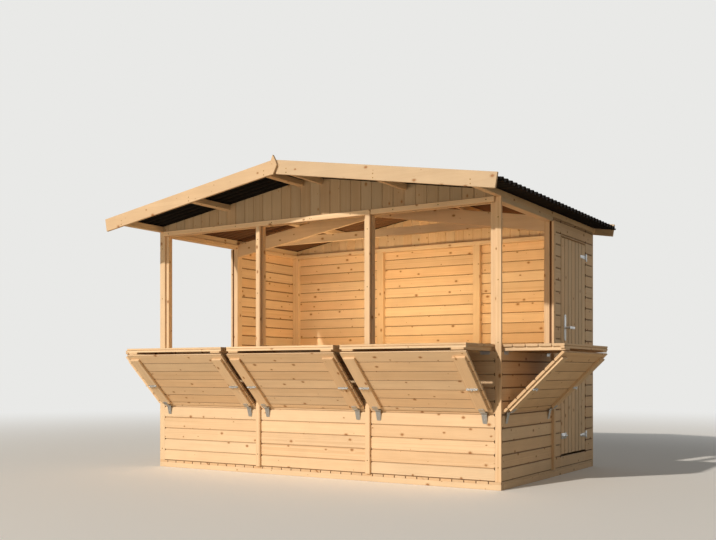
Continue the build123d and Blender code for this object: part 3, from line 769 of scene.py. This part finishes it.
class STALL_OT_counters(bpy.types.Operator):
    """Build the counters: boards on two battens, with a lip under the outer edge"""

    bl_idname = "stall.counters"
    bl_label = "Counters"

    def execute(self, context):
        chamfer = context.scene.stall.joint_chamfer + COUNTER_WIDER
        for side, bay, x0, x1, turn, wall in leaf_places():
            name = piece_name(side, bay, "counter_boards")
            node = piece_name(side, bay, "counter")
            rng = random.Random(name)
            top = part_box(node)[1].z
            under = top - LEAF_BOARD
            # The boards reach through the wall's, but for 1 mm.
            outer, inner = -wall - COUNTER_DEPTH, -wall + LEAF_BOARD - 0.001
            parts = board_field((x0, outer, under), (x1, inner, top), Y, Z, -1,
                                chamfers=(chamfer, BACK_CHAMFER))
            lip = block((x0, outer, under - LIP_DROP), (x1, outer + LIP_WIDTH, under))
            parts = seasoned(parts + [eased(lip, BACK_CHAMFER)], rng, X)
            parts += battens(x0, x1, (outer + 0.0005, SILL_TOP), (inner, under), rng)
            # A lath on the sill rail closes the gap under the boards between the battens.
            near = inner - 0.004
            start, end = batten_centres(x0, x1)
            lath = block((start + BATTEN_WIDTH / 2, near, SILL_TOP),
                         (end - BATTEN_WIDTH / 2, near + LEAF_BOARD, under))
            parts.append(season(lath, rng, X))
            put(turned(joined(parts, name), turn), "spruce_boards", node)
        return {"FINISHED"}


class STALL_OT_leaves(bpy.types.Operator):
    """Build the leaves that lean from the walls to the counters"""

    bl_idname = "stall.leaves"
    bl_label = "Leaves"

    def execute(self, context):
        chamfer = context.scene.stall.joint_chamfer + LEAF_WIDER
        for side, bay, x0, x1, turn, wall in leaf_places():
            name = piece_name(side, bay, "leaf_boards")
            rng = random.Random(name)
            # The leaves' chamfers get much painted shade.
            parts = board_field((x0, -LEAF_LENGTH, 0), (x1, 0, LEAF_BOARD), Y, Z, 1,
                                chamfers=(chamfer, BACK_CHAMFER), soiled=0.85)
            parts = seasoned(parts, rng, X)
            parts += battens(x0, x1, (-LEAF_LENGTH + BATTEN_END, -BATTEN_THICKNESS), (-BATTEN_START, 0), rng)
            piece = turned(joined(parts, name), turn, -LEAF_ANGLE, (0, -wall - LEAF_FOOT_OUT, LEAF_FOOT_Z))
            put(piece, "spruce_boards", piece_name(side, bay, "leaf"))
        return {"FINISHED"}


# Door


class STALL_OT_door(bpy.types.Operator):
    """Build the ledged door of upright boards"""

    bl_idname = "stall.door"
    bl_label = "Door"

    def execute(self, context):
        low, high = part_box("door_leaf")
        rng = random.Random("door_boards")
        # The door's chamfers get some painted shade.
        parts = board_field((BOARD_BACK, low.y, low.z - DOOR_FOOT), high, Y, X, 1,
                            cover=(high.y - low.y) / DOOR_BOARDS, chamfers=(0.0065, 0.0045), soiled=0.35)
        parts = seasoned(parts, rng, Z)
        # The ledges are 90 mm wide and end short of the stops.
        inset, half = 0.022, 0.045
        for z in (low.z + 2 * half, (low.z + high.z) / 2, high.z - 2 * half):
            ledge = block((low.x, low.y + inset, z - half), (BOARD_BACK, high.y - inset, z + half))
            parts.append(season(eased(ledge, 0.004), rng, Y))
        put(joined(parts, "door_boards"), "spruce_boards", "door_leaf", body="door")
        return {"FINISHED"}


class STALL_OT_door_stops(bpy.types.Operator):
    """Fix the laths that the closed door rests against, between the door posts"""

    bl_idname = "stall.door_stops"
    bl_label = "Door stops"

    def execute(self, context):
        low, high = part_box("door_leaf")
        # The laths stay 5 mm and more behind the boards and clear of the ledges' ends as they turn.
        back, front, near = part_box("door_posts")[0].x, low.x + 0.015, BOARD_BACK - 0.006
        start, end = low.y - DOOR_GAP, high.y + DOOR_GAP
        foot, head = low.z + 0.022, high.z - 0.026
        laths = [((back, start, low.z - 0.033), (near, end, foot), Y),
                 ((back, start, head), (near, end, high.z + 0.034), Y),
                 ((back, start, foot), (front, start + 0.025, head), Z),
                 ((back, end - 0.027, foot), (front, end, head), Z)]
        rng = random.Random("door_stops")
        parts = [season(eased(block(one, other), 0.0015), rng, run) for one, other, run in laths]
        put(joined(parts, "door_stops"), "spruce_framing")
        return {"FINISHED"}


# Roof


class STALL_OT_roof(bpy.types.Operator):
    """Finish the corrugated sheets and the ridge cap, and nail them down"""

    bl_idname = "stall.roof"
    bl_label = "Roof"

    def execute(self, context):
        finished(NODES["ridge_cap"], bitumen_fibre_sheet)
        for side, hand in ((-1, "left"), (1, "right")):
            sheet = finished(NODES["roof_sheet_" + hand], bitumen_fibre_sheet)
            nails = finished(joined(self.nails(side, sheet), "nail_caps_" + hand), bitumen_fibre_sheet)
            put(nails, "bitumen_sheet")
        return {"FINISHED"}

    def nails(self, side, sheet):
        """Cap nails on every second wave, over the wall plate and the purlins."""
        points = [v.co for v in sheet.data.vertices]
        eave = max(side * p.x for p in points)
        edge = [p for p in points if side * p.x > eave - 0.02]
        top = max(p.z for p in edge)
        crests = []
        for y in sorted(p.y for p in edge if p.z > top - 0.001):
            # One wave has several points at its top, all within 40 mm.
            if not crests or y - crests[-1] > 0.04:
                crests.append(y)
        cap = eased(disc(radius=0.011, depth=0.007), 0.004, segments=3)
        cap.data.transform(Matrix.Rotation(side * PITCH, 4, "Y") @ Matrix.Rotation(-pi / 2, 4, "X"))
        slope = (top - max(p.z for p in points)) / (min(side * p.x for p in points) - eave)
        caps = [copied(cap, (side * x, y, top - slope * (x - eave) - 0.001))
                for row, x in enumerate((0.150, *PURLIN_LINES)) for y in crests[1 + row % 2:-1:2]]
        bpy.data.objects.remove(cap)
        return caps


# Metal


def knuckles(half, gap, radius, place, ease, vertices=16):
    """The three knuckles of a hinge, side by side on its pin along X."""
    length = 2 * (half - gap) / 3
    starts = [-half + number * (length + gap) for number in range(3)]
    return [eased(rod(radius, start, start + length, place, vertices), ease) for start in starts]


def metal(piece, *nodes, body="stall", finish=galvanised_steel):
    """Shades and finishes a piece of metal, and puts it in its place."""
    only(finished(piece, finish))
    bpy.ops.object.shade_smooth_by_angle(angle=radians(35))
    put(piece, "galvanised_steel", *nodes, body=body)


def spread(model, name, spots, *nodes, **options):
    """Copies of one small model: each at a place on a wall, with its turn and tilt."""
    copies = [turned(copied(model), turn, tilt, place) for turn, tilt, place in spots]
    bpy.data.objects.remove(model)
    metal(joined(copies, name), *nodes, **options)


def on_batten(wall, along_leaf, out, x):
    """A place on the outer face of a leaf's batten, and the tilt that faces away from it."""
    depth = BATTEN_THICKNESS + out
    return pi / 2 - LEAF_ANGLE, (
        x, -wall - LEAF_FOOT_OUT - along_leaf * cos(LEAF_ANGLE) - depth * sin(LEAF_ANGLE),
        LEAF_FOOT_Z + along_leaf * sin(LEAF_ANGLE) - depth * cos(LEAF_ANGLE))


class STALL_OT_fittings(bpy.types.Operator):
    """Round the edges of the steel fittings"""

    bl_idname = "stall.fittings"
    bl_label = "Steel fittings"

    def execute(self, context):
        for name, node, body in (("hinge_straps", "door_hinge_leaves", "door"),
                                 ("hinge_plates", "wall_hinge_leaves", "stall"),
                                 ("lever_handle", "door_handle", "door"),
                                 ("barrel_bolt", "door_bolt", "door")):
            metal(eased(joined(solids_of(node, name), name), STEEL_EDGE, 2), node, body=body)
        return {"FINISHED"}


class STALL_OT_foot_brackets(bpy.types.Operator):
    """Hinge the foot of each batten to the wall with a tapered strap"""

    bl_idname = "stall.foot_brackets"
    bl_label = "Foot brackets"

    def execute(self, context):
        # A strap down the wall, tapered to its foot, a shelf under the batten and a wing up its face.
        half, rise = 0.023, 0.018
        strap = block((-half, -STEEL, 0), (half, 0, STRAP_LENGTH))
        with editing(strap, lambda face: face.normal.z < -0.99):
            bpy.ops.transform.resize(value=(0.72, 1, 1), center_override=(0, 0, 0))
        bevelled(strap, 0.006, lambda a, b: max(a.z, b.z) < 0.001 and abs(a.y - b.y) > 0.001, 3)
        turned(eased(strap, STEEL_EDGE), 0.0, STRAP_LEAN, (0, 0, -STRAP_LENGTH * cos(STRAP_LEAN)))
        out = STRAP_LENGTH * sin(STRAP_LEAN)
        shelf = block((-half, -0.047, -CLEARANCE - STEEL), (half, -out, -CLEARANCE))
        wing = block((-half, -STEEL, -rise), (half, 0, rise))
        bevelled(wing, 0.009, lambda a, b: min(a.z, b.z) > rise - 0.001 and abs(a.y - b.y) > 0.001, 3)
        tilt, place = on_batten(0, WING_ALONG, CLEARANCE, 0)
        turned(eased(wing, STEEL_EDGE), 0.0, tilt, Vector(place) - along(Z, LEAF_FOOT_Z))
        parts = [strap, eased(shelf, STEEL_EDGE), wing]
        parts += knuckles(half=0.026, gap=0.0005, radius=0.0058, place=(-out - 0.002, -0.0055), ease=0.0008)
        spots = [(turn, 0.0, (centre, -wall, LEAF_FOOT_Z)) for turn, wall, centre in batten_places()]
        spread(joined(parts, "foot_bracket"), "foot_brackets", spots, "leaf_brackets")
        return {"FINISHED"}


class STALL_OT_slide_bolts(bpy.types.Operator):
    """Fix a small slide bolt across each batten of the leaves"""

    bl_idname = "stall.slide_bolts"
    bl_label = "Slide bolts"

    def execute(self, context):
        # A plate, the bolt in two guides, and its knob.
        half, height = 0.044, 0.0095
        parts = [eased(block((-half, -BOLT_PLATE, -height), (half, 0, height)), 0.0005),
                 eased(rod(0.0038, 0.001 - half, half - 0.001, place=(-0.0062, 0)), 0.0008)]
        for x in (-0.026, 0.026):
            guide = block((x - 0.006, -0.0118, -0.0062), (x + 0.006, -0.001, 0.0062))
            parts.append(eased(guide, 0.003, segments=3))
        knob = eased(disc(radius=0.0045, depth=0.014), 0.0015, segments=2)
        knob.data.transform(Matrix.Translation((0.002, -0.006, 0)))
        spots = [(turn, *on_batten(wall, BOLT_ALONG, 0.0, centre)) for turn, wall, centre in batten_places()]
        spread(joined(parts + [knob], "slide_bolt"), "slide_bolts", spots)
        return {"FINISHED"}


class STALL_OT_counter_hinges(bpy.types.Operator):
    """Hinge the counters to the walls under their battens"""

    bl_idname = "stall.counter_hinges"
    bl_label = "Counter hinges"

    def execute(self, context):
        half, reach = 0.037, 0.006
        plate = block((-half, -HINGE_PLATE, -0.026), (half, 0, -reach))
        wing = block((-half, -0.036, -0.0004 - HINGE_PLATE), (half, -reach, -0.0004))
        parts = [eased(plate, STEEL_EDGE), eased(wing, STEEL_EDGE)]
        parts += knuckles(half, gap=0.0016, radius=0.0034, place=(-0.0036, -0.0042), ease=0.0005, vertices=12)
        spots = [(turn, 0.0, (centre, -wall, SILL_TOP)) for turn, wall, centre in batten_places()]
        spread(joined(parts, "counter_hinge"), "counter_hinges", spots)
        return {"FINISHED"}


class STALL_OT_screws(bpy.types.Operator):
    """Drive the screws of the fittings, the cover strips and the bargeboards"""

    bl_idname = "stall.screws"
    bl_label = "Screws"

    def execute(self, context):
        spread(self.screw(), "fitting_screws", self.fitting_spots())
        spread(self.screw(), "strip_screws", self.strip_spots(), finish=yellow_zinc)
        spread(self.screw(), "bargeboard_screws", self.bargeboard_spots(), finish=yellow_zinc)
        spread(self.screw(), "door_screws", self.door_spots(), body="door")
        return {"FINISHED"}

    def screw(self):
        """A screw head that faces -Y, with the recess for its driver."""
        head = eased(disc(radius=0.0044, depth=0.0016), 0.0007, segments=2)
        with editing(head, lambda face: face.normal.y < -0.99):
            bpy.ops.mesh.inset(thickness=0.0017)
            bpy.ops.mesh.extrude_region_move(TRANSFORM_OT_translate={"value": (0, 0.0011, 0)})
        return head

    def fitting_spots(self):
        """Screws of the foot brackets, counter hinges, slide bolts and the door's wall hinges."""
        spots = []
        for turn, wall, centre in batten_places():
            for x, down in ((-0.011, 0.026), (0.011, 0.026), (0.0, 0.058)):
                spots.append((turn, STRAP_LEAN, (
                    centre + x, -wall - STEEL - (STRAP_LENGTH - down) * sin(STRAP_LEAN),
                    LEAF_FOOT_Z - down * cos(STRAP_LEAN))))
            for x in (-0.013, 0.013):
                spots.append((turn, *on_batten(wall, WING_ALONG + 0.007, CLEARANCE + STEEL, centre + x)))
                spots.append((turn, 0.0, (centre + 2 * x, -wall - HINGE_PLATE, SILL_TOP - 0.017)))
            for x in (-0.038, 0.038):
                spots.append((turn, *on_batten(wall, BOLT_ALONG, BOLT_PLATE, centre + x)))
        low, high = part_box("wall_hinge_leaves")
        plate = 0.062
        return spots + [(pi / 2, 0.0, (high.y - 0.014, -HALF_W - STEEL, z + rise))
                        for z in (low.z, high.z - plate) for rise in (0.010, plate / 2, plate - 0.010)]

    def strip_spots(self):
        """Screws of the cover strips, and of the header at the front and the back."""
        heights = [0.16 + 0.44 * step for step in range(5)]
        places = []
        for node, turn in (("front_cover_strips", 0.0), ("back_cover_strips", pi)):
            for low, high in boxes_of(node):
                x = (low[X] + high[X]) / 2
                places.append((turn, x, low[Y]) if turn == 0 else (turn, -x, -high[Y]))
        low, high = boxes_of("side_cover_strips")[0]
        y = (low[Y] + high[Y]) / 2
        places += [(pi / 2, y, -HALF_W - STRIP_PROUD), (-pi / 2, -y, -HALF_W - STRIP_PROUD)]
        spots = [(turn, 0.0, (x, face, z)) for turn, x, face in places for z in heights]
        low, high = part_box("front_header")
        inset, spaces = 0.06, 8
        for step in range(spaces + 1):
            x = low.x + inset + step * (high.x - low.x - 2 * inset) / spaces
            spots += [(turn, 0.0, (x, low.y, (low.z + high.z) / 2)) for turn in (0.0, pi)]
        return spots

    def bargeboard_spots(self):
        """Two screws into each purlin's end."""
        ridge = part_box("back_bargeboard_right")[1].z
        spots = []
        for node, side, turn in (("front_bargeboard_left", -1, 0.0), ("front_bargeboard_right", 1, 0.0),
                                 ("back_bargeboard_left", 1, pi), ("back_bargeboard_right", -1, pi)):
            low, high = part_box(node)
            face = -high.y if turn else low.y
            spots += [(turn, 0.0, (side * x, face, ridge - tan(PITCH) * x - drop))
                      for x in (0.097, *PURLIN_LINES) for drop in (0.060, 0.090)]
        return spots

    def door_spots(self):
        """Screws of the hinge straps, the handle's plate and the bolt."""
        low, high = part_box("door_hinge_leaves")
        places = [(low.y + reach, STEEL, z) for z in (low.z + 0.018, high.z - 0.018)
                  for reach in (0.012, 0.050, 0.095)]
        low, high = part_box("door_handle")
        places += [(low.y + 0.020, 2 * STEEL, z) for z in (low.z + 0.013, high.z - 0.013)]
        low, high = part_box("door_bolt")
        places += [(y, STEEL, z) for y in (low.y + 0.010, high.y - 0.010)
                   for z in (low.z + 0.008, high.z - 0.008)]
        return [(pi / 2, 0.0, (y, -HALF_W - out, z)) for y, out, z in places]


# Stage


BACKDROP = "#E9E9E7"


def pale_floor(add, shader):
    """Pale matt floor that fades to the backdrop. Its warm bounce light is not what the camera sees."""
    seen = add("LightPath").outputs["Is Camera Ray"]
    paving = add("Mix", BLEND, i0=seen, i6=linear("#C2B7A3"), i7=linear("#F7F7F5"))
    fill(shader, Base_Color=paving, Roughness=0.9, Specular_IOR_Level=0.1)
    place = add("TexCoord").outputs["Object"]
    distance = add("VectorMath", {"operation": "LENGTH"}, i0=place)
    far = add("MapRange", SMOOTH, Value=distance, From_Min=3.0, From_Max=14.0)
    share = add("Math", TIMES, i0=far, i1=seen)
    glow = add("Emission", Color=linear(BACKDROP), Strength=1.0)
    mixed = add("MixShader", i0=share, i1=shader, i2=glow)
    fill(shader.id_data.nodes["Material Output"], Surface=mixed)


class STALL_OT_stage(bpy.types.Operator):
    """Set up the pale floor, the studio light and the camera"""

    bl_idname = "stall.stage"
    bl_label = "Stage"

    def execute(self, context):
        scene = context.scene
        scene.view_settings.view_transform = "Standard"

        floor = finished(primitive("circle", vertices=96, radius=60, fill_type="NGON"), pale_floor)
        floor.name = "studio_floor"

        # The sky lights the stall a little, and what looks at it directly sees the backdrop.
        scene.world = bpy.data.worlds.new("studio_world")
        scene.world.use_nodes = True
        tree = scene.world.node_tree
        add = partial(add_node, tree)
        sky = tree.nodes["Background"]
        fill(sky, Color=linear("#FFFCF6"), Strength=0.20)
        rays = add("LightPath").outputs
        direct = add("Math", MOST, i0=rays["Is Camera Ray"], i1=rays["Is Glossy Ray"])
        shown = add("Math", MOST, i0=direct, i1=rays["Is Transmission Ray"])
        back = add("Background", Color=linear(BACKDROP), Strength=1.0)
        both = add("MixShader", i0=shown, i1=sky, i2=back)
        fill(tree.nodes["World Output"], Surface=both)

        # The key light comes from 27 degrees up and a little left of the front.
        key, _ = self.lamp("key_light", "SUN", 2.62, "#FFF4E6", (-0.24, -1, 0.515))
        key.angle = radians(1.5)
        # A fill in front, and two lamps behind the truss for the light inside, none of them in view.
        for name, energy, colour, size, place, target in (
                ("front_fill", 162.0, "#FFEACF", (5.0, 1.2), (-2.0, -9.0, 0.7), (0, -1, 1.3)),
                ("inside_back", 11.5, "#FFE0AC", (2.4, 0.5), (0.35, 0.05, 1.45), (0.2, 1, 1.45)),
                ("inside_left", 9.0, "#FFE2B2", (0.5, 0.5), (0.1, -0.25, 1.3), (-1.6, 0.65, 1.3))):
            light, lamp = self.lamp(name, "AREA", energy, colour, Vector(place) - Vector(target))
            light.shape = "RECTANGLE"
            light.size, light.size_y = size
            lamp.location = place
            lamp.visible_camera = lamp.visible_glossy = False

        # The camera stands 8.2 m from the middle, 31 degrees right of the front.
        lens = bpy.data.cameras.new("studio_camera")
        lens.sensor_width = 36
        lens.lens = 46.86
        lens.shift_y = 0.1432
        lens.clip_end = 200
        camera = bpy.data.objects.new("studio_camera", lens)
        camera.location = (4.2375, -7.0769, 0.8284)
        camera.rotation_euler = (radians(90), 0, radians(32.05))
        scene.collection.objects.link(camera)
        scene.camera = camera
        return {"FINISHED"}

    def lamp(self, name, kind, energy, colour, back):
        """A light and its object, given the direction from what it lights back to it."""
        light = bpy.data.lights.new(name, kind)
        light.energy = energy
        light.color = linear(colour)
        lamp = bpy.data.objects.new(name, light)
        lamp.rotation_euler = Vector(back).to_track_quat("Z", "Y").to_euler()
        bpy.context.scene.collection.objects.link(lamp)
        return light, lamp


OPERATORS = (
    STALL_OT_stage,
    STALL_OT_wall_boards,
    STALL_OT_floor_boards,
    STALL_OT_gable_boards,
    STALL_OT_framing,
    STALL_OT_counters,
    STALL_OT_leaves,
    STALL_OT_door,
    STALL_OT_door_stops,
    STALL_OT_roof,
    STALL_OT_fittings,
    STALL_OT_foot_brackets,
    STALL_OT_slide_bolts,
    STALL_OT_counter_hinges,
    STALL_OT_screws,
)


class STALL_PT_panel(bpy.types.Panel):
    """Lists the steps that build the stall"""

    bl_idname = "STALL_PT_panel"
    bl_label = "Market stall"
    bl_space_type = "VIEW_3D"
    bl_region_type = "UI"
    bl_category = "Stall"

    def draw(self, context):
        for name in StallSettings.__annotations__:
            self.layout.prop(context.scene.stall, name)
        for operator in OPERATORS:
            self.layout.operator(operator.bl_idname)


CLASSES = (StallSettings, *OPERATORS, STALL_PT_panel)


def register():
    for cls in CLASSES:
        bpy.utils.register_class(cls)
    bpy.types.Scene.stall = bpy.props.PointerProperty(type=StallSettings)


def unregister():
    del bpy.types.Scene.stall
    for cls in reversed(CLASSES):
        bpy.utils.unregister_class(cls)


def main():
    register()
    for operator in OPERATORS:
        getattr(bpy.ops.stall, operator.bl_idname.split(".")[1])()


if __name__ == "__main__":
    main()
